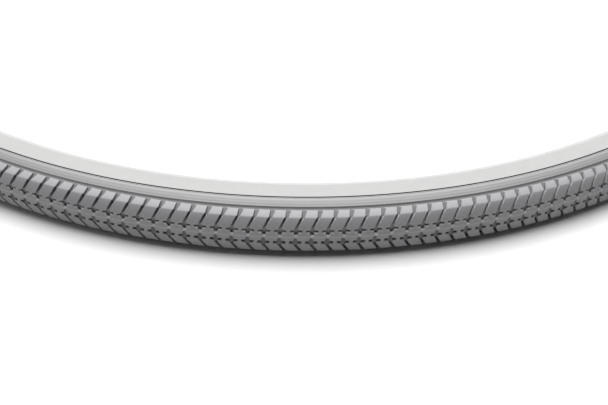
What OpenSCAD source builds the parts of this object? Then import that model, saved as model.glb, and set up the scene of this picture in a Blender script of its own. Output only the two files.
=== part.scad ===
// Narrow grey clincher tyre for a wheelchair or light cycle wheel, bare and unmounted.
// Millimetres. The wheel axis is Z and the origin is the wheel's centre, so the tyre lies flat.
// Every layer is a ring: its section is drawn once, in (radius, height), and turned about Z.

/* [Rim fit] */
// Diameter of the rim's bead seat
bead_seat_d = 540; // [400:1:700]
// Half of the distance between the outer heels of the two beads
heel_z = 6.7; // [5.5:0.1:9]
// Half of the gap between the inner toes of the two beads
toe_z = 2.9; // [1.5:0.1:3.5]
// Height of the flat bead face above the bead seat
bead_face_h = 5; // [4:0.1:7]
// How far the bead face's upper corner sits inside the widest point
bead_face_inset = 1.2; // [0.8:0.1:3]
// Height of the bead's rounded lip above the bead seat
lip_h = 2.3; // [1.8:0.1:3]
// How far the lip sits inside the widest point
lip_inset = 2.4; // [1.8:0.1:3.5]

/* [Section] */
// Height of the section, from bead seat to crown
section_h = 25.5; // [22:0.5:34]
// Width of the section over both sidewalls
section_w = 25; // [22:0.5:34]
// Radius of the crown across the tread
crown_arc_r = 25; // [14:0.5:40]
// Radius of the ribbed sidewall's curve
side_arc_r = 12.5; // [8:0.1:20]

/* [Tread] */
// Height of the tread's shoulder knee above the mid plane
knee_z = 9.3; // [7:0.1:9.5]
// Drop from the crown to the inner end of the shoulder lugs
lug_drop = 5.5; // [4.5:0.1:6.5]
// Inset from the tyre's side to the inner end of the lugs
lug_inset = 2.3; // [2:0.1:3]
// Thickness from the crown to the casing, belt included
crown_t = 3.4; // [2.6:0.1:5]

/* [Sidewall] */
// Thickness of the sidewall rubber beside the casing
side_t = 0.85; // [0.6:0.05:1.5]
// Drop from the crown to the moulded centring line
line_drop = 11.3; // [9.5:0.1:13]
// Drop from the crown to the soft groove under the lugs
crease_drop = 6.4; // [5.5:0.1:7]
// Inset from the tyre's side to that groove
crease_inset = 1.85; // [1.2:0.05:2.2]
// Width of the centring line
line_w = 0.7; // [0.3:0.1:1]
// Depth of the centring line
line_d = 0.55; // [0.2:0.05:0.6]
// Width of the flat land beside the line, on which the tyre lies
land_w = 0.5; // [0.4:0.1:1]
// Width of the soft groove under the lugs
crease_w = 1.1; // [0.6:0.1:1.5]
// Depth of the soft groove under the lugs
crease_d = 0.8; // [0.2:0.05:1]
// Number of fine ribs on the sidewall
rib_count = 3; // [1:1:6]
// Height of a fine rib
rib_d = 0.05; // [0.03:0.01:0.3]

/* [Casing and beads] */
// Thickness of one casing ply
ply_t = 0.5; // [0.3:0.05:0.8]
// Radius of the casing's turn under the sidewall
casing_side_r = 7; // [6:0.1:8]
// Radius of the casing's bend above the bead
casing_bend_r = 3; // [2:0.1:4]
// Thickness of the puncture belt
belt_t = 0.8; // [0.4:0.1:1.2]
// Half width of the puncture belt
belt_half_w = 6; // [4:0.5:7]
// Diameter of the bead wire
wire_d = 1.8; // [1.4:0.1:2.4]
// Thickness of the chafer strip
chafer_t = 0.6; // [0.4:0.05:1]
// How far the chafer runs up inside the tyre, above the bead wire
chafer_run = 4; // [3:0.1:5]
// Wall of the sleeve crimped over the wire's joint
sleeve_wall = 0.4; // [0.3:0.05:0.45]
// Length of the sleeve
sleeve_len = 14; // [8:1:25]

/* [Hidden] */
$fn = 180;

tread_grey = "#8f8f91";
side_grey = "#a5a5a6";
ply_tan = "#c9c4b4";
belt_blue = "#5f7f95";
steel = "#b7babd";

// ---- helpers: points in the (radius, height) plane, angles from the outward radius ----
function arc_points(c, r, from, to, steps) =
    [for (i = [0 : steps]) let (a = from + (to - from) * i / steps) c + r * [cos(a), sin(a)]];
function backwards(p) = [for (i = [len(p) - 1 : -1 : 0]) p[i]];
function flipped(p) = [for (q = p) [q[0], -q[1]]];
// an upper half run from bead to crown becomes the whole run, down to the lower bead
function both_halves(p) = concat(p, flipped(backwards(p)));
function unit(v) = v / norm(v);
function angle_of(v) = atan2(v[1], v[0]);
// point where the lines n1.p = d1 and n2.p = d2 meet
function meet(n1, d1, n2, d2) =
    let (det = n1[0] * n2[1] - n1[1] * n2[0])
    [(d1 * n2[1] - d2 * n1[1]) / det, (n1[0] * d2 - n2[0] * d1) / det];

// ---- the moulded outside ----
seat_r = bead_seat_d / 2;
crown_r = seat_r + section_h;
half_w = section_w / 2;
crown_c = [crown_r - crown_arc_r, 0];
knee_a = asin(knee_z / crown_arc_r);
// inner end of the lugs, at the foot of the shoulder face
lug_end = [crown_r - lug_drop, half_w - lug_inset];
line_p = [crown_r - line_drop, half_w];
corner = [seat_r + bead_face_h, half_w - bead_face_inset];
lip = [seat_r + lip_h, half_w - lip_inset];
heel = [seat_r, heel_z];

// sidewall arc through the line and the crease
crease_p = [crown_r - crease_drop, half_w - crease_inset];
side_chord = crease_p - line_p;
side_mid = (crease_p + line_p) / 2;
side_in = unit([side_chord[1], -side_chord[0]]);
side_c = side_mid + side_in * sqrt(pow(side_arc_r, 2) - pow(norm(side_chord) / 2, 2));
crease_a = angle_of(crease_p - side_c);
crease_half_a = crease_w / 2 / side_arc_r * 180 / PI;
crease_bottom = side_c + (side_arc_r - crease_d) * unit(crease_p - side_c);

// ---- the casing: three tangent arcs and two straights, offset inwards by t ----
lower_dir = unit(line_p - corner);
lower_n = [-lower_dir[1], lower_dir[0]];
lower_d = lower_n * line_p - side_t;
face_dir = unit(corner - heel);
face_n = [-face_dir[1], face_dir[0]];
face_d = face_n * corner - chafer_t;
// the casing is at its widest just inside the centring line
side_cr = line_p[0] - line_w;
c_side = [side_cr, (lower_d - casing_side_r - lower_n[0] * side_cr) / lower_n[1]];
c_bend = meet(lower_n, lower_d - casing_bend_r, face_n, face_d - casing_bend_r);
casing_r = crown_r - crown_t;
// crown arc tangent to the side arc, centred on the mid plane
crown_gap = casing_r - casing_side_r;
crown_cr = (pow(crown_gap, 2) - c_side * c_side) / (2 * (crown_gap - c_side[0]));
c_crown = [crown_cr, 0];
crown_cas_r = casing_r - crown_cr;
tangent_a = angle_of(c_side - c_crown);
lower_a = angle_of(lower_n);
face_a = angle_of(face_n);
// arcs stop this short of the mid plane, so that the two halves meet in a small flat
flat_a = 1;

// run of the casing's surface at depth t, from the bend by the bead up to the crown
function casing_run(t) = concat(
    arc_points(c_bend, casing_bend_r - t, face_a, lower_a, 4),
    arc_points(c_side, casing_side_r - t, lower_a, tangent_a, 14),
    arc_points(c_crown, crown_cas_r - t, tangent_a - flat_a, flat_a, 6));

// ---- the bead ----
wire_r = wire_d / 2;
hook_r = wire_r + ply_t;
wire_cr = seat_r + chafer_t + hook_r;
// the hooked ply's outside is tangent to the outer ply
wire_c = [wire_cr, (face_d - ply_t - hook_r - face_n[0] * wire_cr) / face_n[1]];
sleeve_r = wire_r + sleeve_wall;
sleeve_a = sleeve_len / wire_cr * 180 / PI;
ply_foot_out = wire_c + (hook_r + ply_t) * face_n;
ply_foot_mid = wire_c + hook_r * face_n;
// where the inner ply's inside surface leaves the hook
hook_leave = acos((hook_r - ply_t) / hook_r);
hook_from = face_a;
hook_to = face_a + 360 - hook_leave;
chafer_r = hook_r + chafer_t;
chafer_top = wire_c + (hook_r - ply_t) * face_n + chafer_run * face_dir;
// the rounded inside of the bead, from the toe to where it meets the straight run
toe_from = -90;
toe_to = 20;
// corner cut off the toe, as thick as the chafer
toe_out = [seat_r, toe_z + chafer_t];
toe_in = [seat_r + chafer_t, toe_z];

// split between tread and sidewall, and between sidewall and chafer
tread_split_a = angle_of(crease_bottom - c_side);
face_split_a = angle_of(corner - c_bend);

// the flat land the tyre lies on, and the three points of the centring line
land_out = [line_p[0] + line_w / 2 + land_w, half_w];
land_in = [line_p[0] + line_w / 2, half_w];
line_bottom = line_p - [0, line_d];
line_edge = line_p - line_w / 2 * lower_dir;

// edge of the puncture belt, as an angle on the casing's crown arc
belt_a = asin(belt_half_w / (crown_cas_r + belt_t));

// ---- sections ----
module ring() {
    rotate_extrude(convexity = 6) children();
}

module lower_half() {
    mirror([0, 0, 1]) children();
}

// fine ribs between the crease and the land, as a ripple on the side arc
function ribbed_run(steps) =
    let (from = crease_a + crease_half_a, to = angle_of(land_out - side_c))
    [for (i = [0 : steps])
        let (u = i / steps, a = from + (to - from) * u)
        side_c + (side_arc_r - rib_d * (1 - cos(360 * rib_count * u)) / 2) * [cos(a), sin(a)]];

function sidewall_points() = concat(
    [crease_bottom],
    ribbed_run(8 * rib_count),
    [land_out, land_in, line_bottom, line_edge, corner],
    arc_points(c_bend, casing_bend_r, face_split_a, lower_a, 3),
    arc_points(c_side, casing_side_r, lower_a, tread_split_a, 10));

function tread_half_outside() = concat(
    [crease_bottom, lug_end],
    arc_points(crown_c, crown_arc_r, knee_a, flat_a, 8));

function tread_half_inside() = concat(
    arc_points(c_side, casing_side_r, tread_split_a, tangent_a, 6),
    arc_points(c_crown, crown_cas_r, tangent_a - flat_a, belt_a, 2),
    arc_points(c_crown, crown_cas_r + belt_t, belt_a, flat_a, 4));

module tread() {
    color(tread_grey)
        ring()
            polygon(concat(
                both_halves(tread_half_outside()),
                backwards(both_halves(tread_half_inside()))));
}

module puncture_belt() {
    color(belt_blue)
        ring()
            polygon(concat(
                both_halves(arc_points(c_crown, crown_cas_r + belt_t, belt_a, flat_a, 4)),
                backwards(both_halves(arc_points(c_crown, crown_cas_r, belt_a, flat_a, 4)))));
}

module casing_ply_outer() {
    color(ply_tan)
        ring()
            polygon(concat(
                both_halves(concat([ply_foot_out], casing_run(0))),
                backwards(both_halves(concat([ply_foot_mid], casing_run(ply_t))))));
}

module casing_ply_inner() {
    hook = arc_points(wire_c, hook_r, hook_from, hook_to, 20);
    color(ply_tan)
        difference() {
            ring()
                polygon(concat(
                    both_halves(concat(backwards(hook), casing_run(ply_t))),
                    backwards(both_halves(casing_run(2 * ply_t)))));
            wire_rings(wire_r);
            sleeves(sleeve_r);
        }
}

module wire_ring(r) {
    ring() translate(wire_c) circle(r);
}

module wire_rings(r) {
    wire_ring(r);
    lower_half() wire_ring(r);
}

module sleeve(r) {
    rotate([0, 0, -sleeve_a / 2])
        rotate_extrude(angle = sleeve_a)
            translate(wire_c)
                circle(r);
}

// the lower joint lies opposite the upper one, for balance
module lower_sleeve_place() {
    rotate([0, 0, 180]) lower_half() children();
}

module sleeves(r) {
    sleeve(r);
    lower_sleeve_place() sleeve(r);
}

module sidewall() {
    color(side_grey) ring() polygon(sidewall_points());
}

module chafer() {
    toe_curve = arc_points(wire_c, chafer_r, toe_from, toe_to, 6);
    hook = arc_points(wire_c, hook_r, hook_from, hook_to, 20);
    color(side_grey)
        ring()
            polygon(concat(
                [corner, lip, heel, toe_out, toe_in],
                toe_curve,
                [chafer_top],
                backwards(hook),
                [ply_foot_out],
                arc_points(c_bend, casing_bend_r, face_a, face_split_a, 2)));
}

module bead_wire() {
    color(steel) wire_ring(wire_r);
}

module bead_sleeve() {
    color(steel)
        difference() {
            sleeve(sleeve_r);
            wire_ring(wire_r);
        }
}

tread();
puncture_belt();
casing_ply_outer();
casing_ply_inner();
sidewall();  // sidewall_upper
lower_half() sidewall();  // sidewall_lower
chafer();  // chafer_upper
lower_half() chafer();  // chafer_lower
bead_wire();  // bead_wire_upper
lower_half() bead_wire();  // bead_wire_lower
bead_sleeve();  // bead_sleeve_upper
lower_sleeve_place() bead_sleeve();  // bead_sleeve_lower
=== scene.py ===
# %% [markdown]
# A bare grey wheelchair tyre, lying flat on a pale floor. It is a clincher tyre: an open hoop of
# rubber and cord whose two wire-stiffened beads snap under the lips of a rim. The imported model
# gives its layers and its size. This lesson gives them their finished shapes and their rubber.

# %% Load the frame
from math import acos, asin, atan2, cos, degrees, hypot, pi, radians, sin, sqrt

import bmesh
import bpy
from mathutils import Matrix, Vector


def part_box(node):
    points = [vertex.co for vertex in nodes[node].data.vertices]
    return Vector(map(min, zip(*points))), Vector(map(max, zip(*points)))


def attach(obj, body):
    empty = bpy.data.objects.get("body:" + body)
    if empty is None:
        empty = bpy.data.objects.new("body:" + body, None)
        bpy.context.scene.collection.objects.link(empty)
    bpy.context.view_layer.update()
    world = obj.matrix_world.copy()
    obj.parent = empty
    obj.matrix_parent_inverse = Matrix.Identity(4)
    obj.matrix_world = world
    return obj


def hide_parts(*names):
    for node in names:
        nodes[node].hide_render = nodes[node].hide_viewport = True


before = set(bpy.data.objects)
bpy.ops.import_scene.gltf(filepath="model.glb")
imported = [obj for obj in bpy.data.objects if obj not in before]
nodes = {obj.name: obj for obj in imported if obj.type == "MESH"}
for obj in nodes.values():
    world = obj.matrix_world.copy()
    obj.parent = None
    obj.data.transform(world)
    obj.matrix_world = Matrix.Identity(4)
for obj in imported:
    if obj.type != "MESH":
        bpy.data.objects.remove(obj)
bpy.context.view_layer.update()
print("packed pieces:", sorted(nodes))

# %% [markdown]
# Everything here turns round one axle, the Z axis, so one section in (radius, height) describes a
# whole ring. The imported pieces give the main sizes. The finer ones are those of the design, in
# millimetres, and each gets a name where it is first needed.

# %% Main sizes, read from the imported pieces
MM = 0.001
crown_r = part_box("tread")[1].x / MM
half_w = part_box("sidewall_upper")[1].z / MM
belt_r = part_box("puncture_belt")[1].x / MM
belt_half_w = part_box("puncture_belt")[1].z / MM
casing_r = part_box("casing_ply_outer")[1].x / MM
corner_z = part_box("chafer_upper")[1].z / MM
seat_r = min(hypot(v.co.x, v.co.y) for v in nodes["chafer_upper"].data.vertices) / MM
print(f"crown radius {crown_r:.1f}, bead seat radius {seat_r:.1f}, half width {half_w:.1f} mm")


# %% Small helpers for a section in (radius, height)
def polar(centre, radius, angle):
    """Point on a circle, its angle measured in degrees from the outward radius."""
    return Vector((centre[0] + radius * cos(radians(angle)),
                   centre[1] + radius * sin(radians(angle))))


def arc(centre, radius, start, end, steps):
    """Points along a circle, from one angle to another."""
    return [polar(centre, radius, start + (end - start) * i / steps) for i in range(steps + 1)]


def angle_of(v):
    """Direction of a vector, in the same degrees."""
    return degrees(atan2(v[1], v[0]))


def flipped(points):
    """The lower half of a section, from the upper half."""
    return [Vector((p[0], -p[1])) for p in points]


print("a quarter turn in two steps:", arc((0, 0), 1, 0, 90, 2))

# %% Corners of the section
# the crown is an arc as far as the knee, where each lug turns down over the shoulder
crown_arc_r = 25
knee_z = 9.3
crown_c = Vector((crown_r - crown_arc_r, 0))
knee_a = degrees(asin(knee_z / crown_arc_r))
knee = polar(crown_c, crown_arc_r, knee_a)
lug_end = Vector((crown_r - 5.5, half_w - 2.3))
# the centring line stands where the tyre is widest; the crease is the soft groove under the lugs
line_p = Vector((crown_r - 11.3, half_w))
crease_p = Vector((crown_r - 6.4, half_w - 1.85))
# the bead: the chafer's outer corner, its lip, and its heel on the bead seat
corner = Vector((seat_r + 5, corner_z))
lip = Vector((seat_r + 2.3, half_w - 2.4))
heel = Vector((seat_r, 6.7))
print("knee", knee, "lug end", lug_end, "centring line", line_p)

# %% The ribbed band, an arc between crease and centring line
side_arc_r = 12.5
# the crease: half its width, its depth, and how many degrees its bottom leans towards the crown
crease_half = 0.55
crease_depth = 0.48
crease_lean = 0.6
chord = crease_p - line_p
side_c = (crease_p + line_p) / 2 + Vector((chord.y, -chord.x)).normalized() * sqrt(
    side_arc_r ** 2 - (chord.length / 2) ** 2)
crease_a = angle_of(crease_p - side_c)
crease_half_a = degrees(crease_half / side_arc_r)
crease_bottom = polar(side_c, side_arc_r - crease_depth, crease_a - crease_lean)
print("centre of the band's arc", side_c, "bottom of the crease", crease_bottom)

# %% Arcs of the casing, on which every rubber layer lies
# thickness of the sidewall's skin and of the chafer's face
sidewall_t = 0.85
chafer_t = 0.6
# the turn towards the crown, the bend in to the bead, and how far the turn's centre is set in
turn_r = 7
bend_r = 3
turn_inset = 0.7
# two straight runs: along the lower sidewall, and down the face of the bead
lower_dir = (line_p - corner).normalized()
lower_n = Vector((-lower_dir.y, lower_dir.x))
lower_d = lower_n.dot(line_p) - sidewall_t
face_dir = (corner - heel).normalized()
face_n = Vector((-face_dir.y, face_dir.x))
face_d = face_n.dot(corner) - chafer_t
# an arc turns the sidewall over towards the crown, a smaller one bends it in to the bead
turn_x = line_p.x - turn_inset
turn_c = Vector((turn_x, (lower_d - turn_r - lower_n.x * turn_x) / lower_n.y))
det = lower_n.x * face_n.y - lower_n.y * face_n.x
bend_c = Vector((
    ((lower_d - bend_r) * face_n.y - (face_d - bend_r) * lower_n.y) / det,
    (lower_n.x * (face_d - bend_r) - face_n.x * (lower_d - bend_r)) / det))
# one arc on the middle plane joins the two halves under the tread
gap = casing_r - turn_r
top_x = (gap ** 2 - turn_c.length_squared) / (2 * (gap - turn_c.x))
top_c = Vector((top_x, 0))
top_r = casing_r - top_x
meet_a = angle_of(turn_c - top_c)
lower_a = angle_of(lower_n)
face_a = angle_of(face_n)
belt_t = belt_r - casing_r
belt_a = degrees(asin(belt_half_w / (top_r + belt_t)))
print(f"casing crown radius {top_r:.2f} mm, turn centre {turn_c}")

# %% [markdown]
# The tread is the only layer that isn't a plain ring. It is one moulded strip of rubber whose
# pattern repeats every 6.6 mm: a centre rib with notches, a bridge to each shoulder lug, deep
# short slots between them, and a slanting groove from each notch out over the shoulder. Carving it
# with booleans would leave ragged walls, so one pitch is laid out in code and repeated
# round the hoop, which keeps it crisp. The pitch is a grid of rows along the section and columns
# round the tyre. Each grid face is either top rubber or the floor of a groove, and where a top face
# meets a floor face the code puts in the wall between them. What is repeated 280 times has to stay
# light, so a row or a column is there only where the shape needs it.

# %% Rows of one pitch, as arc lengths from the crown line
PITCHES = 280
PITCH_A = 2 * pi / PITCHES
TINY = 1e-6
knee_s = radians(knee_a) * crown_arc_r
end_s = knee_s + (lug_end - knee).length
notch_end = 0.4
rib_edge = 2.2
slot_end = 3.7
dam = 4.6
ramp_end = 6.3
# the knee is rounded over: one row before it and one after, shaded smoothly
knee_in = knee_s - 0.4
bend_s = knee_s + 0.4
rows = [0, notch_end, rib_edge, slot_end, dam, ramp_end, knee_in, bend_s, end_s]
NOTCH_ROW, SLOT_ROW, LAST_ROW = 1, 2, len(rows) - 1
print("pitch at the crown", round(crown_r * PITCH_A, 2), "mm; rows", [round(s, 2) for s in rows])


# %% Where a row lies on the section, and which way is out
def on_tread(s, depth=0.0):
    """Point at arc length s from the crown line, depth millimetres below the surface."""
    if s < knee_s - TINY:
        return polar(crown_c, crown_arc_r - depth, degrees(s / crown_arc_r))
    along = (lug_end - knee).normalized()
    out = Vector((-along.y, along.x)) * -1
    if s < knee_s + TINY:
        arc_out = Vector((cos(radians(knee_a)), sin(radians(knee_a))))
        mitre = (arc_out + out).normalized()
        return knee - mitre * depth / mitre.dot(out)
    return knee + along * (s - knee_s) - out * depth


print("crown line", on_tread(0), "lug end", on_tread(end_s))


# %% Edges and depths of the grooves, as straight runs between stops
def blend(s, stops):
    """Straight-line value at s through (s, value) stops."""
    for (s0, v0), (s1, v1) in zip(stops, stops[1:]):
        if s <= s1:
            return v0 + (v1 - v0) * max(0, s - s0) / (s1 - s0)
    return stops[-1][1]


# the two edges of the notch and its groove, in fractions of a pitch from the middle of the notch
left_edge = [(notch_end, -0.105), (rib_edge, -0.17), (slot_end, -0.17), (dam, -0.10),
             (knee_s, 0.247), (bend_s, 0.30), (end_s, 0.36)]
right_edge = [(notch_end, 0.105), (rib_edge, 0.17), (slot_end, 0.17), (dam, 0.10),
              (knee_s, 0.495), (end_s, 0.71)]
# a low dam between notch and groove keeps the lugs from squirming, so the floor rises to it
floor_depth = [(notch_end, 1.35), (rib_edge, 1.1), (slot_end, 0.45), (dam, 0.3),
               (ramp_end, 1.5), (knee_s, 1.9), (bend_s, 1.9), (end_s, 0.7)]
print("groove floor:", [round(blend(s, floor_depth), 2) for s in rows], "mm deep")

# %% Sizes of the slots, and how their walls lean so that the mould lets go
SLOT_NEAR, SLOT_FAR = 0.22, 0.385
SLOT_DEPTH = 2.0
SLOT_END_DRAFT = 0.02
DRAFT = 0.12
# the mould eases the leading wall of each groove more than the trailing one
EASED_DRAFT = 0.3
# the rib's rims are broken by a wider chamfer: its height across the tread, and its depth
LIP_S = 0.5
LIP_DEPTH = 0.5
LINES = 8
LEFT, RIGHT = 3, 4
SLOT_LINES = (1, 2, 5, 6)
SLOT_COLUMNS = (1, 2, 4, 5)


def columns(s):
    """The eight column lines of a row, from one bridge centre to the next."""
    left, right = blend(s, left_edge), blend(s, right_edge)
    middle = (left + right) / 2
    near, far = SLOT_NEAR, SLOT_FAR
    if s > slot_end:
        # past the slots these lines only share out the lug evenly
        spare = 1 - (right - left)
        near, far = (right - left) / 2 + spare * 0.1, (right - left) / 2 + spare * 0.3
    return [middle - 0.5, middle - far, middle - near, left,
            right, middle + near, middle + far, middle + 0.5]


for s in rows:
    print("row at", round(s, 2), "mm: columns", [round(u, 3) for u in columns(s)])


# %% Which faces are groove floor, and where their corners lie
def is_floor(row, column):
    """True where the grid face after this row and right of this column line is cut away."""
    if row < NOTCH_ROW:
        return False
    return column == LEFT or (row == SLOT_ROW and column in SLOT_COLUMNS)


def floor_point(row, line):
    """Column fraction, arc length and depth of a groove floor's corner."""
    s, u = rows[row], columns(rows[row])[line]
    depth = blend(s, floor_depth)
    if row in (SLOT_ROW, SLOT_ROW + 1) and line in SLOT_LINES:
        depth = SLOT_DEPTH
        s += LIP_S + DRAFT if row == SLOT_ROW else -DRAFT * 2
        u += {SLOT_LINES[0]: SLOT_END_DRAFT, SLOT_LINES[-1]: -SLOT_END_DRAFT}.get(line, 0)
    elif line in (LEFT, RIGHT):
        lean = DRAFT if line == LEFT else EASED_DRAFT
        u += lean * depth / (crown_r * PITCH_A) * (1 if line == LEFT else -1)
        if row == NOTCH_ROW:
            s += LIP_S + DRAFT
    return u, s, depth


def has_lip(row, line):
    """True at the corners of the rib that its wide chamfer runs through."""
    return (row == NOTCH_ROW and line in (LEFT, RIGHT)) or (
        row == SLOT_ROW and line not in (0, LINES - 1))


for row in range(len(rows)):
    print("row", row, "".join(" floor" if is_floor(row, c) else " top" for c in range(LINES - 1)))

# %% [markdown]
# Each corner of the pitch carries two pairs of numbers for the rubber's material, as UV layers.
# "pattern" holds the place on the tread: the fraction of a pitch, and the arc length from the
# crown line in millimetres, below nought on the lower half. "depth" holds how deep the corner
# lies, and 1 where a painted highlight goes on the wall above it, on chamfers and eased walls that
# face the overhead light. A groove's whole floor counts as at least 1.5 mm deep there, so that the
# painted shade of the grooves lies evenly on shallow and deep floors.

# %% The mesh of one pitch while it is made
# groove floors count as at least this deep for the painted shade of the grooves
GROOVE_SHADE_DEPTH = 1.5
# the mould's lower half stands turned by this fraction of a pitch against the upper one
LOWER_SHIFT = -0.05


def place(radius, height, turn):
    """Point in metres from a radius and a height in millimetres and a turn in radians."""
    return Vector((radius * cos(turn), radius * sin(turn), height)) * MM


class PitchNet:
    """Keeps each vertex once, for the upper (half = 1) and the lower (half = -1) side."""

    def __init__(self):
        self.bm = bmesh.new()
        self.pattern = self.bm.loops.layers.uv.new("pattern")
        self.depth = self.bm.loops.layers.uv.new("depth")
        self.half = 1
        self.made = {}

    def vertex(self, point, u, s, depth=0.0, highlight_flag=0.0):
        """A vertex with its pair for each layer, made only if it isn't there yet."""
        turn = (u + (LOWER_SHIFT if self.half < 0 and s > 0 else 0)) * PITCH_A
        height = point.y * self.half
        key = (round(point.x, 5), round(height, 5), round(turn, 7))
        if key not in self.made:
            vert = self.bm.verts.new(place(point.x, height, turn))
            self.made[key] = (vert, (u, s * self.half), (depth, highlight_flag))
        return self.made[key]

    def face(self, corners):
        """A face through these corners, turned the right way out, unless it is only a line."""
        seen = []
        for entry in corners if self.half > 0 else reversed(corners):
            if entry not in seen:
                seen.append(entry)
        if len(seen) < 3:
            return
        made = self.bm.faces.new([vert for vert, _, _ in seen])
        for loop, (_, pattern, depth) in zip(made.loops, seen):
            loop[self.pattern].uv = pattern
            loop[self.depth].uv = depth


net = PitchNet()
print("layers of the pitch:", [layer.name for layer in net.bm.loops.layers.uv.values()])


# %% Corners of the crown: on the rim of a groove, on its floor, and on the way down
def rim(row, line):
    s = rows[row]
    return net.vertex(on_tread(s), columns(s)[line], s)


def bottom(row, line):
    u, s, depth = floor_point(row, line)
    # only the upper half's eased walls face up into the overhead light, so only they get the
    # painted highlight
    eased = net.half > 0 and line == RIGHT and rows[row] > slot_end
    return net.vertex(on_tread(s, depth), u, s, max(depth, GROOVE_SHADE_DEPTH), float(eased))


def down(row, line):
    """The corners met on the way down a groove's wall, from its rim to its floor."""
    if not has_lip(row, line):
        return [rim(row, line), bottom(row, line)]
    s = rows[row] + LIP_S
    u = (floor_point(row, line)[0] + columns(rows[row])[line]) / 2
    # the chamfer's flag of 1 puts the painted highlight on it
    chamfer = net.vertex(on_tread(s, LIP_DEPTH), u, s, LIP_DEPTH, 1.0)
    return [rim(row, line), chamfer, bottom(row, line)]


print("rows with a chamfered rim:", [row for row in range(len(rows)) if has_lip(row, RIGHT)])


# %% Crown and grooves
def build_crown():
    """Every grid face of one half, with a wall wherever top rubber meets a groove's floor."""
    for row in range(LAST_ROW):
        for col in range(LINES - 1):
            cut = is_floor(row, col)
            pick = bottom if cut else rim
            net.face([pick(row, col), pick(row, col + 1),
                      pick(row + 1, col + 1), pick(row + 1, col)])
            if col < LINES - 2 and cut != is_floor(row, col + 1):
                wall = down(row, col + 1) + down(row + 1, col + 1)[::-1]
                net.face(wall if is_floor(row, col + 1) else wall[::-1])
            if row < LAST_ROW - 1 and cut != is_floor(row + 1, col):
                near, far = down(row + 1, col), down(row + 1, col + 1)
                for i in range(len(near) - 1):
                    wall = [near[i], far[i], far[i + 1], near[i + 1]]
                    net.face(wall if is_floor(row + 1, col) else wall[::-1])


print("grid of one half:", LAST_ROW, "rows of", LINES - 1, "faces")

# %% Foot of the lugs, and the plain strip down to the crease
# the corner where the strip dips into the crease
foot = crease_bottom + Vector((0.45, -0.38))
foot_s = end_s + 0.7
crease_s = end_s + 1.3


def build_foot():
    """Closes the lugs below and adds the strip; gives its corners along the crease."""
    for col in range(LINES - 1):
        if not is_floor(LAST_ROW - 1, col):
            net.face([rim(LAST_ROW, col), rim(LAST_ROW, col + 1),
                      bottom(LAST_ROW, col + 1), bottom(LAST_ROW, col)])
    edge = [bottom(LAST_ROW, line) for line in range(LINES)]
    for point, s in ((foot, foot_s), (crease_bottom, crease_s)):
        following = [net.vertex(point, u, s) for u in columns(end_s)]
        for col in range(LINES - 1):
            net.face([edge[col], edge[col + 1], following[col + 1], following[col]])
        edge = following
    return edge


print("strip from", round(foot_s, 2), "to", round(crease_s, 2), "mm from the crown line")

# %% Inside, where the strip lies on the casing and the belt: one face a row is enough
inside = (arc(turn_c, turn_r, angle_of(crease_bottom - turn_c), meet_a, 4)
          + arc(top_c, top_r, meet_a, belt_a, 2)[1:]
          + arc(top_c, top_r + belt_t, belt_a, 0, 3))


def build_inside(edge):
    for i, point in enumerate(inside, 1):
        share = i / len(inside)
        drift = columns(end_s)[0] * (1 - share) + columns(0)[0] * share
        s = 0 if i == len(inside) else crease_s
        following = [net.vertex(point, drift, s), net.vertex(point, drift + 1, s)]
        net.face(edge + following[::-1])
        edge = following


for half in (1, -1):
    net.half = half
    build_crown()
    build_inside(build_foot())
pitch_mesh = bpy.data.meshes.new("tread_pitch")
net.bm.normal_update()
net.bm.to_mesh(pitch_mesh)
net.bm.free()
print("faces in one pitch:", len(pitch_mesh.polygons))


# %% [markdown]
# A node tree is how both the repeat and the materials are described, so one helper serves all of
# them: it makes a node, sets its settings, and fills each input with a value or with a link.

# %% One helper for every node
def add(tree, kind, inputs=None, **settings):
    made = tree.nodes.new(kind)
    for name, value in settings.items():
        setattr(made, name, value)
    for name, value in (inputs or {}).items():
        if isinstance(value, bpy.types.NodeSocket):
            tree.links.new(value, made.inputs[name])
        else:
            made.inputs[name].default_value = value
    return made


def colour(code):
    """Linear RGBA from an sRGB hex code."""
    parts = [int(code[i:i + 2], 16) / 255 for i in (1, 3, 5)]
    return tuple(c / 12.92 if c <= 0.04045 else ((c + 0.055) / 1.055) ** 2.4
                 for c in parts) + (1.0,)


def new_material(name):
    """An empty material: its node tree, and a Principled shader joined to the output."""
    made = bpy.data.materials.new(name)
    made.use_nodes = True
    made.node_tree.nodes.clear()
    shader = add(made.node_tree, "ShaderNodeBsdfPrincipled")
    add(made.node_tree, "ShaderNodeOutputMaterial", {"Surface": shader.outputs["BSDF"]})
    return made, made.node_tree, shader


print("middle grey is", [round(c, 3) for c in colour("#808080")])

# %% [markdown]
# Tread rubber is a grey, non-marking styrene-butadiene compound, cured in a steel mould. The mould
# leaves it matt, with a faint mottle where the compound flowed and a fine spark-eroded grain. A
# thin parting line runs round the middle, where the mould's two halves close. A painted texture
# would blur at the groove walls, so the pattern and depth layers tell the nodes where each tone
# belongs.

# %% Sizes of the marks on the rubber
RUBBER_IOR = 1.52
# the real spark-eroded grain is 0.1 mm: it is drawn three times as coarse, so that it shows
GRAIN = 0.3
# the parting line's painted highlight: full strength as far as the first distance, gone at the
# second
PARTING_FROM, PARTING_TO = 0.1, 0.3
# the painted shade of the grooves darkens the rubber between these two depths
GROOVE_SHADE_FROM, GROOVE_SHADE_TO = 0.1, 1.8
# how far below the chamfer the painted highlight reaches, and the least flag that counts as lit
HIGHLIGHT_REACH = 0.35
HIGHLIGHT_FLAG = 0.03
# vents of the mould: middle and half length across the tread, and half width in pitches
VENTS = ((4.9, 0.5), (1.6, 0.6))
VENT_HALF_U = 0.17
print("grain drawn", GRAIN, "mm across;", len(VENTS), "vents in each pitch")
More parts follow.
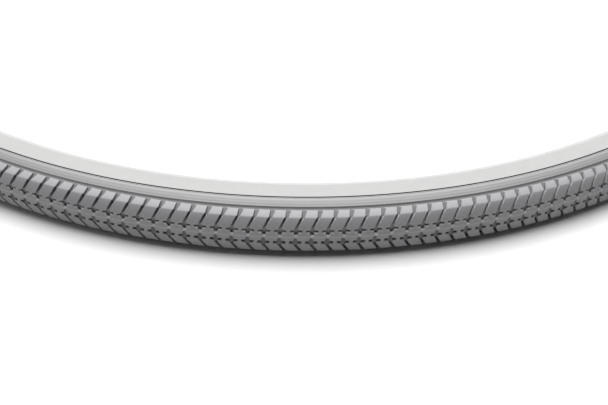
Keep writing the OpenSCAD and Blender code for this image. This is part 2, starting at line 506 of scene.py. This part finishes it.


# %% Tread rubber
# to the eye: a matt, slightly cool mid grey, with painted shade in the grooves and painted rim
# highlights
def tread_rubber():
    made, tree, shader = new_material("moulded_grey_tread_rubber")
    where = add(tree, "ShaderNodeTexCoord").outputs["Object"]
    pattern = add(tree, "ShaderNodeUVMap", uv_map="pattern").outputs["UV"]
    shader.inputs["IOR"].default_value = RUBBER_IOR
    # mottle a few millimetres across, from the flow of the compound in the mould
    mottle = add(tree, "ShaderNodeTexNoise", {
        "Vector": where, "Scale": 1 / (4 * MM), "Detail": 3.0})
    grain = add(tree, "ShaderNodeTexNoise", {
        "Vector": where, "Scale": 1 / (GRAIN * MM), "Detail": 2.0})
    tone = add(tree, "ShaderNodeMix", {
        "Factor": mottle.outputs["Fac"], "A": colour("#79787b"), "B": colour("#838283")},
        data_type="RGBA")
    # painted highlight: the parting line, where the mould's two halves close, is painted as a pale
    # thread
    apart = add(tree, "ShaderNodeSeparateXYZ", {"Vector": pattern})
    height = add(tree, "ShaderNodeMath", {0: apart.outputs["Y"]}, operation="ABSOLUTE")
    parting = add(tree, "ShaderNodeMapRange", {
        "Value": height.outputs[0], "From Min": PARTING_FROM, "From Max": PARTING_TO,
        "To Min": 1.0, "To Max": 0.0})
    tone = add(tree, "ShaderNodeMix", {
        "Factor": parting.outputs[0], "A": tone.outputs["Result"], "B": colour("#919091")},
        data_type="RGBA")
    # painted shade in the grooves: the deeper the rubber lies, the darker it is painted
    depth = add(tree, "ShaderNodeSeparateXYZ", {
        "Vector": add(tree, "ShaderNodeUVMap", uv_map="depth").outputs["UV"]})
    painted_groove_shade = add(tree, "ShaderNodeMapRange", {
        "Value": depth.outputs["X"], "From Min": GROOVE_SHADE_FROM, "From Max": GROOVE_SHADE_TO, "To Max": 1.0})
    tone = add(tree, "ShaderNodeMix", {
        "Factor": painted_groove_shade.outputs[0], "A": tone.outputs["Result"], "B": colour("#535254")},
        data_type="RGBA")
    # painted shade: the strip between the lugs and the crease lies in the crease's shade, so it is
    # painted darker
    strip = add(tree, "ShaderNodeMapRange", {
        "Value": height.outputs[0], "From Min": end_s + 0.05, "From Max": end_s + 0.5})
    tone = add(tree, "ShaderNodeMix", {
        "Factor": strip.outputs[0], "A": tone.outputs["Result"], "B": colour("#6b6a6c")},
        data_type="RGBA")
    # painted highlight: chamfers and eased walls are painted pale near the rim, where the light
    # catches them
    marked = add(tree, "ShaderNodeMath", {
        0: depth.outputs["Y"], 1: HIGHLIGHT_FLAG}, operation="GREATER_THAN")
    shallow = add(tree, "ShaderNodeMath", {
        0: depth.outputs["X"], 1: LIP_DEPTH + HIGHLIGHT_REACH}, operation="LESS_THAN")
    painted_rim_highlight = add(tree, "ShaderNodeMath", {
        0: marked.outputs[0], 1: shallow.outputs[0]}, operation="MULTIPLY")
    tone = add(tree, "ShaderNodeMix", {
        "Factor": painted_rim_highlight.outputs[0], "A": tone.outputs["Result"], "B": colour("#a09fa1")},
        data_type="RGBA")
    # a dull oval on every lug and rib block, where a vent in the mould let the air out
    along = add(tree, "ShaderNodeMath", {0: apart.outputs["X"]}, operation="ABSOLUTE")
    block = add(tree, "ShaderNodeMath", {0: along.outputs[0], 1: 0.5}, operation="SUBTRACT")
    for middle_s, reach in VENTS:
        off = add(tree, "ShaderNodeMath", {
            0: apart.outputs["Y"], 1: middle_s}, operation="SUBTRACT")
        apart_s = add(tree, "ShaderNodeMath", {0: off.outputs[0], 1: reach}, operation="DIVIDE")
        apart_u = add(tree, "ShaderNodeMath", {
            0: block.outputs[0], 1: VENT_HALF_U}, operation="DIVIDE")
        oval = add(tree, "ShaderNodeCombineXYZ", {
            "X": apart_u.outputs[0], "Y": apart_s.outputs[0]})
        away = add(tree, "ShaderNodeVectorMath", {0: oval.outputs[0]}, operation="LENGTH")
        spot = add(tree, "ShaderNodeMapRange", {
            "Value": away.outputs["Value"], "From Max": 1.0, "To Min": 0.35, "To Max": 0.0})
        tone = add(tree, "ShaderNodeMix", {
            "Factor": spot.outputs[0], "A": tone.outputs["Result"], "B": colour("#575658")},
            data_type="RGBA")
    tree.links.new(tone.outputs["Result"], shader.inputs["Base Color"])
    rough = add(tree, "ShaderNodeMapRange", {
        "Value": mottle.outputs["Fac"], "To Min": 0.52, "To Max": 0.66})
    tree.links.new(rough.outputs[0], shader.inputs["Roughness"])
    bump = add(tree, "ShaderNodeBump", {
        "Height": grain.outputs["Fac"], "Distance": 0.03 * MM, "Strength": 0.6})
    tree.links.new(bump.outputs["Normal"], shader.inputs["Normal"])
    return made


tread_mat = tread_rubber()
print("nodes in the tread rubber:", len(tread_mat.node_tree.nodes))


# %% [markdown]
# Repeating the pitch is a job for Geometry Nodes: one point for each pitch, an instance on every
# point, each turned a little further round Z. Realising them and merging the shared edges closes
# the hoop into one watertight strip. An Array modifier could do it too, but the tree keeps the
# count, the first angle and the weld distance as named inputs.

# %% The ring tree
def ring_tree():
    tree = bpy.data.node_groups.new("repeat_round_hoop", "GeometryNodeTree")
    panel = tree.interface
    panel.new_socket("Geometry", in_out="INPUT", socket_type="NodeSocketGeometry")
    count = panel.new_socket("Pitches", in_out="INPUT", socket_type="NodeSocketInt")
    start = panel.new_socket("Start angle", in_out="INPUT", socket_type="NodeSocketFloat")
    weld = panel.new_socket("Weld distance", in_out="INPUT", socket_type="NodeSocketFloat")
    rubber = panel.new_socket("Rubber", in_out="INPUT", socket_type="NodeSocketMaterial")
    panel.new_socket("Geometry", in_out="OUTPUT", socket_type="NodeSocketGeometry")
    given = add(tree, "NodeGroupInput")
    points = add(tree, "GeometryNodePoints", {"Count": given.outputs["Pitches"]})
    index = add(tree, "GeometryNodeInputIndex")
    step = add(tree, "ShaderNodeMath", {
        0: 2 * pi, 1: given.outputs["Pitches"]}, operation="DIVIDE")
    turn = add(tree, "ShaderNodeMath", {
        0: index.outputs[0], 1: step.outputs[0], 2: given.outputs["Start angle"]},
        operation="MULTIPLY_ADD")
    spin = add(tree, "FunctionNodeAxisAngleToRotation", {
        "Axis": (0, 0, 1), "Angle": turn.outputs[0]})
    copies = add(tree, "GeometryNodeInstanceOnPoints", {
        "Points": points.outputs[0], "Instance": given.outputs["Geometry"],
        "Rotation": spin.outputs[0]})
    solid = add(tree, "GeometryNodeRealizeInstances", {"Geometry": copies.outputs[0]})
    welded = add(tree, "GeometryNodeMergeByDistance", {
        "Geometry": solid.outputs[0], "Distance": given.outputs["Weld distance"]})
    coated = add(tree, "GeometryNodeSetMaterial", {
        "Geometry": welded.outputs[0], "Material": given.outputs["Rubber"]})
    add(tree, "NodeGroupOutput", {"Geometry": coated.outputs[0]})
    return tree, {"count": count.identifier, "start": start.identifier,
                  "weld": weld.identifier, "rubber": rubber.identifier}


tree, sockets = ring_tree()
print("inputs of the ring tree:", sockets)


# %% Finish a piece: smooth shading, sharp corners, one body
def finish_piece(name, mesh, slot, *replaced, sharp=30):
    """An edge whose faces turn by more than sharp degrees stays a crisp corner."""
    mesh.shade_smooth()
    mesh.set_sharp_from_angle(angle=radians(sharp))
    made = bpy.data.objects.new(name, mesh)
    bpy.context.scene.collection.objects.link(made)
    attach(made, "root")
    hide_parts(*replaced)
    print(name, "faces", len(mesh.polygons))
    return made


# %% Build the tread
# the first notch stands a little to the right of the front
START_A = radians(-90 + 0.40)
WELD = 0.004
seed = bpy.data.objects.new("tread_seed", pitch_mesh)
bpy.context.scene.collection.objects.link(seed)
modifier = seed.modifiers.new("hoop", "NODES")
modifier.node_group = tree
modifier[sockets["count"]] = PITCHES
modifier[sockets["start"]] = START_A
modifier[sockets["weld"]] = WELD * MM
modifier[sockets["rubber"]] = tread_mat
ready = seed.evaluated_get(bpy.context.evaluated_depsgraph_get())
tread_mesh = bpy.data.meshes.new_from_object(ready)
bpy.data.objects.remove(seed)
# 38 degrees leaves the two bends of the rounded knee smooth and keeps every rim crisp
finish_piece("tread_pattern", tread_mesh, "tread_rubber", "tread", sharp=38)


# %% [markdown]
# The other layers are plain rings. Each one's closed section is drawn once and turned round Z, in
# twice as many steps as the tread has pitches, so that no facet shows along the hoop. The Screw
# modifier would turn a section as well, but writing the points keeps the seam closed by itself.

# %% Turn a section into a ring
RING_STEPS = 2 * PITCHES


def ring(name, outline, material, slot, *replaced):
    """A closed section, in millimetres, turned into a ring whose faces point outwards."""
    area = sum(p[0] * q[1] - q[0] * p[1] for p, q in zip(outline, outline[1:] + outline[:1]))
    section = outline if area > 0 else outline[::-1]
    count = len(section)
    points, faces = [], []
    for step in range(RING_STEPS):
        after = (step + 1) % RING_STEPS
        points += [place(p[0], p[1], 2 * pi * step / RING_STEPS) for p in section]
        faces += [(step * count + i, after * count + i,
                   after * count + (i + 1) % count, step * count + (i + 1) % count)
                  for i in range(count)]
    mesh = bpy.data.meshes.new(name)
    mesh.from_pydata(points, [], faces)
    mesh.materials.append(material)
    return finish_piece(name, mesh, slot, *replaced)


print("steps round a ring:", RING_STEPS)

# %% [markdown]
# The sidewall is a skin of the same family of rubber as the tread, but softer and paler. Its upper
# part is a band of three shallow ribs that hides scuffs, its lower part is smooth, and between them
# stands the thin centring line by which a fitter sees that the tyre sits evenly on the rim. A bump
# could fake ribs and line, but they run right round, so a few points more in the section make them
# real and let them catch the light truly.

# %% Marks on the sidewall rubber
# the ribbed band is painted darker between these distances outside the centring line: partly
# its matt finish, partly painted shade of its ribs and of the crease
BAND_SHADE_FROM, BAND_SHADE_TO = 0.3, 2
# painted shade in the groove beside the centring line: its middle, and its half width
LINE_SHADE_MIDDLE, LINE_SHADE_HALF = 0.2, 0.36
print("dark line at radius", round(line_p.x + LINE_SHADE_MIDDLE, 1), "mm")


# %% Sidewall rubber
# to the eye: a pale satin grey, partly painted darker on the ribbed band, with painted shade in the
# line's groove
def sidewall_rubber():
    made, tree, shader = new_material("moulded_grey_sidewall_rubber")
    where = add(tree, "ShaderNodeTexCoord").outputs["Object"]
    shader.inputs["IOR"].default_value = RUBBER_IOR
    mottle = add(tree, "ShaderNodeTexNoise", {
        "Vector": where, "Scale": 1 / (6 * MM), "Detail": 3.0})
    grain = add(tree, "ShaderNodeTexNoise", {
        "Vector": where, "Scale": 1 / (GRAIN * MM), "Detail": 2.0})
    flat = add(tree, "ShaderNodeVectorMath", {0: where, 1: (1, 1, 0)}, operation="MULTIPLY")
    radius = add(tree, "ShaderNodeVectorMath", {0: flat.outputs[0]}, operation="LENGTH")
    plain = add(tree, "ShaderNodeMix", {
        "Factor": mottle.outputs["Fac"], "A": colour("#8f8f8f"), "B": colour("#959594")},
        data_type="RGBA")
    # the ribbed band is painted darker: partly its matt finish, partly painted shade of ribs and
    # crease
    band = add(tree, "ShaderNodeMapRange", {
        "Value": radius.outputs["Value"], "From Min": (line_p.x + BAND_SHADE_FROM) * MM,
        "From Max": (line_p.x + BAND_SHADE_TO) * MM})
    tone = add(tree, "ShaderNodeMix", {
        "Factor": band.outputs[0], "A": plain.outputs["Result"], "B": colour("#707070")},
        data_type="RGBA")
    # painted shade: the groove beside the centring line is painted almost black
    aside = add(tree, "ShaderNodeMath", {
        0: radius.outputs["Value"], 1: (line_p.x + LINE_SHADE_MIDDLE) * MM, 2: LINE_SHADE_HALF * MM},
        operation="COMPARE")
    painted_groove_shade = add(tree, "ShaderNodeMix", {
        "Factor": aside.outputs[0], "A": tone.outputs["Result"], "B": colour("#2c2c2c")},
        data_type="RGBA")
    tree.links.new(painted_groove_shade.outputs["Result"], shader.inputs["Base Color"])
    rough = add(tree, "ShaderNodeMapRange", {
        "Value": mottle.outputs["Fac"], "To Min": 0.5, "To Max": 0.62})
    tree.links.new(rough.outputs[0], shader.inputs["Roughness"])
    bump = add(tree, "ShaderNodeBump", {
        "Height": grain.outputs["Fac"], "Distance": 0.02 * MM, "Strength": 0.5})
    tree.links.new(bump.outputs["Normal"], shader.inputs["Normal"])
    return made


side_mat = sidewall_rubber()
print("nodes in the sidewall rubber:", len(side_mat.node_tree.nodes))

# %% Ribs of the band, and the centring line
rib_count = 3
rib_d = 0.05
steps_per_rib = 8
# a narrow land, a groove and a sharp edge make up the centring line
land_out = line_p + Vector((0.85, 0))
land_in = line_p + Vector((0.5, 0))
line_bottom = [line_p + Vector((0.3, -0.6)), line_p + Vector((0.05, -0.6))]
line_edge = line_p - 0.12 * lower_dir
rib_from = crease_a + crease_half_a
rib_to = angle_of(land_out - side_c)
ripple = []
for i in range(steps_per_rib * rib_count + 1):
    u = i / (steps_per_rib * rib_count)
    ripple.append(polar(side_c, side_arc_r - rib_d * (1 - cos(2 * pi * rib_count * u)) / 2,
                        rib_from + (rib_to - rib_from) * u))
print("points along the ribbed band:", len(ripple))

# %% Build the two sidewalls
sidewall_outline = (
    [crease_bottom] + ripple + [land_out, land_in] + line_bottom + [line_edge, corner]
    + arc(bend_c, bend_r, angle_of(corner - bend_c), lower_a, 3)
    + arc(turn_c, turn_r, lower_a, angle_of(crease_bottom - turn_c), 10)[1:])
ring("sidewall_band_upper", sidewall_outline, side_mat, "sidewall_rubber", "sidewall_upper")
ring("sidewall_band_lower", flipped(sidewall_outline), side_mat, "sidewall_rubber",
     "sidewall_lower")


# %% [markdown]
# The bead is the part that grips the rim. A steel hoop lies in a hook of the inner ply, and a
# chafer strip wraps both, so that the rim rubs on hard-wearing rubber and not on cord. Its outer
# face is the pale band at the tyre's inner edge. The chafer and the lining could be sheets with a
# thickness added, but as closed sections, joined up from arcs round the wire and along the casing,
# they meet their neighbours exactly.

# %% Chafer strip
# to the eye: an even, very pale grey, a little warm
def chafer_rubber():
    made, tree, shader = new_material("rubberised_chafer_strip")
    where = add(tree, "ShaderNodeTexCoord").outputs["Object"]
    shader.inputs["IOR"].default_value = RUBBER_IOR
    mottle = add(tree, "ShaderNodeTexNoise", {
        "Vector": where, "Scale": 1 / (5 * MM), "Detail": 3.0})
    tone = add(tree, "ShaderNodeMix", {
        "Factor": mottle.outputs["Fac"], "A": colour("#9a9a99"), "B": colour("#a6a6a4")},
        data_type="RGBA")
    tree.links.new(tone.outputs["Result"], shader.inputs["Base Color"])
    rough = add(tree, "ShaderNodeMapRange", {
        "Value": mottle.outputs["Fac"], "To Min": 0.5, "To Max": 0.65})
    tree.links.new(rough.outputs[0], shader.inputs["Roughness"])
    return made


chafer_mat = chafer_rubber()
print("chafer strip:", chafer_mat.name)

# %% The hook of the inner ply round the wire
# thickness of a ply, the wire's radius, and the rubber between the hook and the rim
ply_t = 0.5
wire_r = 0.9
wrap_t = 0.6
hook_r = wire_r + ply_t
wire_x = seat_r + wrap_t + hook_r
wire_c = Vector((wire_x, (face_d - ply_t - hook_r - face_n.x * wire_x) / face_n.y))
hook_to = face_a + 360 - degrees(acos((hook_r - ply_t) / hook_r))
hook = arc(wire_c, hook_r, face_a, hook_to, 20)
print("wire centre", wire_c, "hook ends at", round(hook_to), "degrees")

# %% Build the two chafers
# the toe is the chamfered inner edge; the tail runs up the inside of the lining
toe = [Vector((seat_r, 3.5)), Vector((seat_r + 0.6, 2.9))]
chafer_tail = 4
chafer_top = wire_c + (hook_r - ply_t) * face_n + chafer_tail * face_dir
foot_out = wire_c + (hook_r + ply_t) * face_n
chafer_outline = ([corner, lip, heel] + toe
                  + arc(wire_c, hook_r + wrap_t, -90, 20, 10) + [chafer_top] + hook[::-1]
                  + [foot_out]
                  + arc(bend_c, bend_r, face_a, angle_of(corner - bend_c), 2)[:-1])
ring("chafer_strip_upper", chafer_outline, chafer_mat, "chafer_rubber", "chafer_upper")
ring("chafer_strip_lower", flipped(chafer_outline), chafer_mat, "chafer_rubber", "chafer_lower")


# %% [markdown]
# The casing is two plies of parallel nylon cords, dipped and pressed into natural rubber, laid
# crosswise at 45 degrees. Looking into the tyre, one sees the inner ply with its cords showing
# through. Modelled cords would need millions of faces, so the cords are a sine wave in the
# material, and the lining that carries them is one thin ring from one hook to the other.

# %% Casing fabric
# to the eye: fine slanting cords under a dull skin of cream rubber
CORD_PITCH = 0.8


def casing_fabric():
    made, tree, shader = new_material("rubber_coated_nylon_cord")
    where = add(tree, "ShaderNodeTexCoord").outputs["Object"]
    apart = add(tree, "ShaderNodeSeparateXYZ", {"Vector": where})
    turn = add(tree, "ShaderNodeMath", {
        0: apart.outputs["Y"], 1: apart.outputs["X"]}, operation="ARCTAN2")
    # at 45 degrees the next cord lies this far along the hoop, and as far up it
    slant = CORD_PITCH * sqrt(2)
    cords = round(2 * pi * casing_r / slant)
    round_it = add(tree, "ShaderNodeMath", {
        0: turn.outputs[0], 1: float(cords)}, operation="MULTIPLY")
    across = add(tree, "ShaderNodeMath", {
        0: apart.outputs["Z"], 1: 2 * pi / (slant * MM), 2: round_it.outputs[0]},
        operation="MULTIPLY_ADD")
    cord = add(tree, "ShaderNodeMath", {0: across.outputs[0]}, operation="SINE")
    raised = add(tree, "ShaderNodeMapRange", {"Value": cord.outputs[0], "From Min": -1.0})
    tone = add(tree, "ShaderNodeMix", {
        "Factor": raised.outputs[0], "A": colour("#8d8878"), "B": colour("#c9c4b4")},
        data_type="RGBA")
    tree.links.new(tone.outputs["Result"], shader.inputs["Base Color"])
    shader.inputs["Roughness"].default_value = 0.7
    bump = add(tree, "ShaderNodeBump", {
        "Height": raised.outputs[0], "Distance": 0.15 * MM, "Strength": 0.8})
    tree.links.new(bump.outputs["Normal"], shader.inputs["Normal"])
    return made


fabric = casing_fabric()
print("cords", CORD_PITCH, "mm apart in", fabric.name)


# %% Build the lining
def casing_run(t):
    """The casing's surface at depth t, from the bend by the bead up to the crown."""
    return (arc(bend_c, bend_r - t, face_a, lower_a, 4)
            + arc(turn_c, turn_r - t, lower_a, meet_a, 14)
            + arc(top_c, top_r - t, meet_a, 0, 7)[1:])


half_out = hook[::-1] + casing_run(ply_t)
half_in = casing_run(2 * ply_t)
inner_outline = half_out + flipped(half_out)[::-1][1:] + flipped(half_in) + half_in[::-1][1:]
ring("casing_lining", inner_outline, fabric, "casing_fabric", "casing_ply_inner")


# %% [markdown]
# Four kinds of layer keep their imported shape, because it is already right and they lie hidden
# between the others: the outer ply, the belt that stops thorns, the bead wires and the sleeves that
# join the wires' ends. They only need their materials, which go into their material slots.

# %% Belt rubber
# to the eye: a plain, dull blue, coloured so that a fitter can tell it from the tread
def belt_rubber():
    made, tree, shader = new_material("dense_blue_belt_rubber")
    where = add(tree, "ShaderNodeTexCoord").outputs["Object"]
    mottle = add(tree, "ShaderNodeTexNoise", {
        "Vector": where, "Scale": 1 / (3 * MM), "Detail": 3.0})
    tone = add(tree, "ShaderNodeMix", {
        "Factor": mottle.outputs["Fac"], "A": colour("#557489"), "B": colour("#6788a0")},
        data_type="RGBA")
    tree.links.new(tone.outputs["Result"], shader.inputs["Base Color"])
    shader.inputs["Roughness"].default_value = 0.6
    return made


belt_mat = belt_rubber()
print("belt:", belt_mat.name)


# %% Bead steel
# to the eye: bright metal, softened by the fine streaks of the drawing die
def bead_steel():
    made, tree, shader = new_material("drawn_bead_wire_steel")
    where = add(tree, "ShaderNodeTexCoord").outputs["Object"]
    streak = add(tree, "ShaderNodeTexNoise", {
        "Vector": where, "Scale": 1 / MM, "Detail": 4.0})
    tone = add(tree, "ShaderNodeMix", {
        "Factor": streak.outputs["Fac"], "A": colour("#a9acb0"), "B": colour("#c4c7ca")},
        data_type="RGBA")
    tree.links.new(tone.outputs["Result"], shader.inputs["Base Color"])
    shader.inputs["Metallic"].default_value = 1.0
    rough = add(tree, "ShaderNodeMapRange", {
        "Value": streak.outputs["Fac"], "To Min": 0.25, "To Max": 0.4})
    tree.links.new(rough.outputs[0], shader.inputs["Roughness"])
    return made


steel = bead_steel()
print("bead wires and sleeves:", steel.name)

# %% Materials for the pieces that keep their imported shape
kept = {
    "casing_ply_outer": fabric,
    "puncture_belt": belt_mat,
    "bead_wire_upper": steel,
    "bead_wire_lower": steel,
    "bead_sleeve_upper": steel,
    "bead_sleeve_lower": steel,
}
for name, finish in kept.items():
    slots = nodes[name].data.materials
    slots.clear()
    slots.append(finish)
print("kept pieces:", {name: finish.name for name, finish in kept.items()})

# %% [markdown]
# The stage is a plain floor of white paper. One large softbox overhead does nearly all of the
# lighting, a weak one on the left picks out the leading walls of the grooves, and a dim white sky
# fills the shadows.

# %% Floor
# to the eye: white paper that takes a soft shadow
FLOOR_SIZE = 8
bpy.ops.mesh.primitive_plane_add(size=FLOOR_SIZE, location=(0, 0, -half_w * MM))
floor = bpy.context.object
floor.name = "floor"
paper, paper_tree, paper_shader = new_material("white_paper_sweep")
paper_where = add(paper_tree, "ShaderNodeTexCoord").outputs["Object"]
# clouds of fibre 25 mm across
fibre = add(paper_tree, "ShaderNodeTexNoise", {"Vector": paper_where, "Scale": 1 / (25 * MM)})
paper_tone = add(paper_tree, "ShaderNodeMix", {
    "Factor": fibre.outputs["Fac"], "A": colour("#c6c6c6"), "B": colour("#cacaca")},
    data_type="RGBA")
paper_tree.links.new(paper_tone.outputs["Result"], paper_shader.inputs["Base Color"])
paper_shader.inputs["Roughness"].default_value = 0.9
floor.data.materials.append(paper)
print("floor at", round(floor.location.z / MM, 1), "mm")

# %% Sky
SKY_STRENGTH = 0.11
world = bpy.data.worlds.new("studio")
bpy.context.scene.world = world
world.use_nodes = True
sky = world.node_tree.nodes["Background"]
sky.inputs["Color"].default_value = colour("#ffffff")
sky.inputs["Strength"].default_value = SKY_STRENGTH
print("sky strength", SKY_STRENGTH)


# %% Softboxes
def softbox(name, stand, size, power):
    """A square area light aimed at the front of the hoop."""
    light = bpy.data.lights.new(name, "AREA")
    light.shape = "SQUARE"
    light.size = size
    light.energy = power
    made = bpy.data.objects.new(name, light)
    made.location = stand
    front = Vector((0, -0.28, 0))
    made.rotation_euler = (front - Vector(stand)).to_track_quat("-Z", "Y").to_euler()
    bpy.context.scene.collection.objects.link(made)
    print(name, "at", stand, "metres,", power, "watts")


softbox("overhead_softbox", (0.02, 0.02, 1.3), size=1.3, power=50)
softbox("side_softbox", (-1.2, -0.2, 0.6), size=0.7, power=3)
bpy.context.scene.view_settings.view_transform = "Standard"

# %% [markdown]
# The camera stands in front and above, near enough that only the front of the hoop is in view. It
# is placed by three angles, and its three axes are worked out from them, because a slight roll
# would be awkward to give by aiming it at a point.

# %% Camera
# sensor width and focal length in millimetres, as on a full-frame camera
SENSOR = 36
LENS = 59.210526
EYE = Vector((0, -0.59783, 0.2802))
yaw, pitch_down, roll = radians(0.936), radians(40.796), radians(1.49)
look = Vector((sin(yaw) * cos(pitch_down), cos(yaw) * cos(pitch_down), -sin(pitch_down)))
right = Vector((cos(yaw), -sin(yaw), 0))
up = right.cross(look)
camera_x = right * cos(roll) + up * sin(roll)
camera_y = -right * sin(roll) + up * cos(roll)
camera_data = bpy.data.cameras.new("camera")
camera_data.sensor_width = SENSOR
camera_data.lens = LENS
camera = bpy.data.objects.new("camera", camera_data)
camera.matrix_world = Matrix((camera_x, camera_y, -look)).transposed().to_4x4()
camera.location = EYE
bpy.context.scene.collection.objects.link(camera)
bpy.context.scene.camera = camera
print("camera", LENS, "mm, looking along", look)
